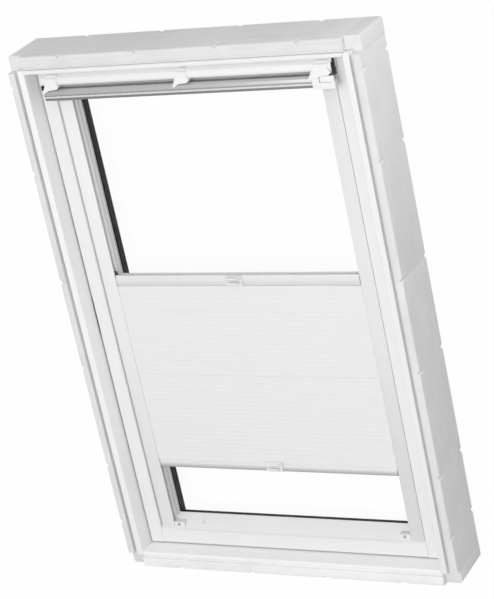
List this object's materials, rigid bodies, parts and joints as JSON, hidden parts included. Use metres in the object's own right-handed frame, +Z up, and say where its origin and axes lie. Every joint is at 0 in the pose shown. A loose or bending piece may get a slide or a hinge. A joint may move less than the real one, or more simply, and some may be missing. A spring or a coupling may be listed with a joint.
{
  "type": "skylight window blind",
  "caption": "Pleated blind on side guide rails, fitted in a white centre-pivot roof window with its control bar, ventilation flap and insulating collar.",
  "frame": {"origin": "centre of the collar's underside, on which the closed window stands upright; half-way through the collar's depth", "axes": "+Z up the window, along its longest side; +X to the right as seen from the room; +Y outwards, away from the room"},
  "size_m": [0.82, 0.132, 1.238],
  "materials": {
    "foam": "white closed-cell foam board, matt",
    "frame_paint": "smooth white paint on timber, satin",
    "sash_paint": "smooth white paint on timber, satin",
    "cover_metal": "dark grey coated sheet, satin",
    "steel": "plain zinc-plated",
    "pane_glass": "clear, polished",
    "black_rubber": "black, matt",
    "white_metal": "white powder coat, satin",
    "flap_paint": "white powder coat, satin",
    "grey_metal": "silver-grey anodised, satin",
    "white_plastic": "white moulded plastic, satin",
    "dark_plastic": "dark grey moulded plastic",
    "cloth": "white non-woven pleated cloth, matt"
  },
  "bodies": {
    "frame": {"collar_bottom": "foam", "collar_corner_bottom_left": "foam", "collar_corner_bottom_right": "foam", "collar_corner_top_left": "foam", "collar_corner_top_right": "foam", "collar_left_lower": "foam", "collar_left_upper": "foam", "collar_right_lower": "foam", "collar_right_upper": "foam", "collar_top": "foam", "frame_bottom": "frame_paint", "frame_cover_bottom": "cover_metal", "frame_cover_left": "cover_metal", "frame_cover_right": "cover_metal", "frame_cover_top": "cover_metal", "frame_left": "frame_paint", "frame_right": "frame_paint", "frame_top": "frame_paint", "pivot_plate_frame_left": "steel", "pivot_plate_frame_right": "steel"},
    "sash": {"glazing_gasket": "black_rubber", "guide_rail_left": "white_metal", "guide_rail_right": "white_metal", "hinge_rod": "steel", "inner_pane": "pane_glass", "lock_case": "steel", "outer_pane": "pane_glass", "pane_spacer": "black_rubber", "pivot_pin_sash_left": "steel", "pivot_pin_sash_right": "steel", "pleats_lower": "cloth", "pleats_upper": "cloth", "rail_cap_left": "white_plastic", "rail_cap_right": "white_plastic", "rail_foot_left": "white_plastic", "rail_foot_right": "white_plastic", "rod_bracket_1": "steel", "rod_bracket_2": "steel", "sash_bottom": "sash_paint", "sash_cover_bottom": "cover_metal", "sash_cover_left": "cover_metal", "sash_cover_right": "cover_metal", "sash_cover_top": "cover_metal", "sash_left": "sash_paint", "sash_right": "sash_paint", "sash_seal": "black_rubber", "sash_top": "sash_paint"},
    "control_bar_set": {"control_bar": "grey_metal", "vent_flap": "flap_paint", "arm_left": "white_plastic", "arm_middle": "white_plastic", "arm_right": "white_plastic"},
    "upper_blind_bar": {"upper_bar": "white_metal", "upper_handle": "white_plastic", "upper_glider_left": "dark_plastic", "upper_glider_right": "dark_plastic"},
    "lower_blind_bar": {"lower_bar": "white_metal", "lower_handle": "white_plastic", "lower_glider_left": "dark_plastic", "lower_glider_right": "dark_plastic"}
  },
  "joints": [
    {"name": "sash_pivot", "type": "hinge", "parent": "frame", "child": "sash", "pos_m": [0, -0.004, 0.619], "axis": [1, 0, 0], "range_deg": [0, 160]},
    {"name": "control_bar_hinge", "type": "hinge", "parent": "sash", "child": "control_bar_set", "pos_m": [0, -0.042, 1.189], "axis": [-1, 0, 0], "range_deg": [0, 40]},
    {"name": "upper_bar_slide", "type": "slide", "parent": "sash", "child": "upper_blind_bar", "axis": [0, 0, 1], "range_m": [-0.17, 0.4], "deforming": ["pleats_upper"]},
    {"name": "lower_bar_slide", "type": "slide", "parent": "sash", "child": "lower_blind_bar", "axis": [0, 0, 1], "range_m": [-0.138, 0.17], "deforming": ["pleats_lower"]}
  ]
}
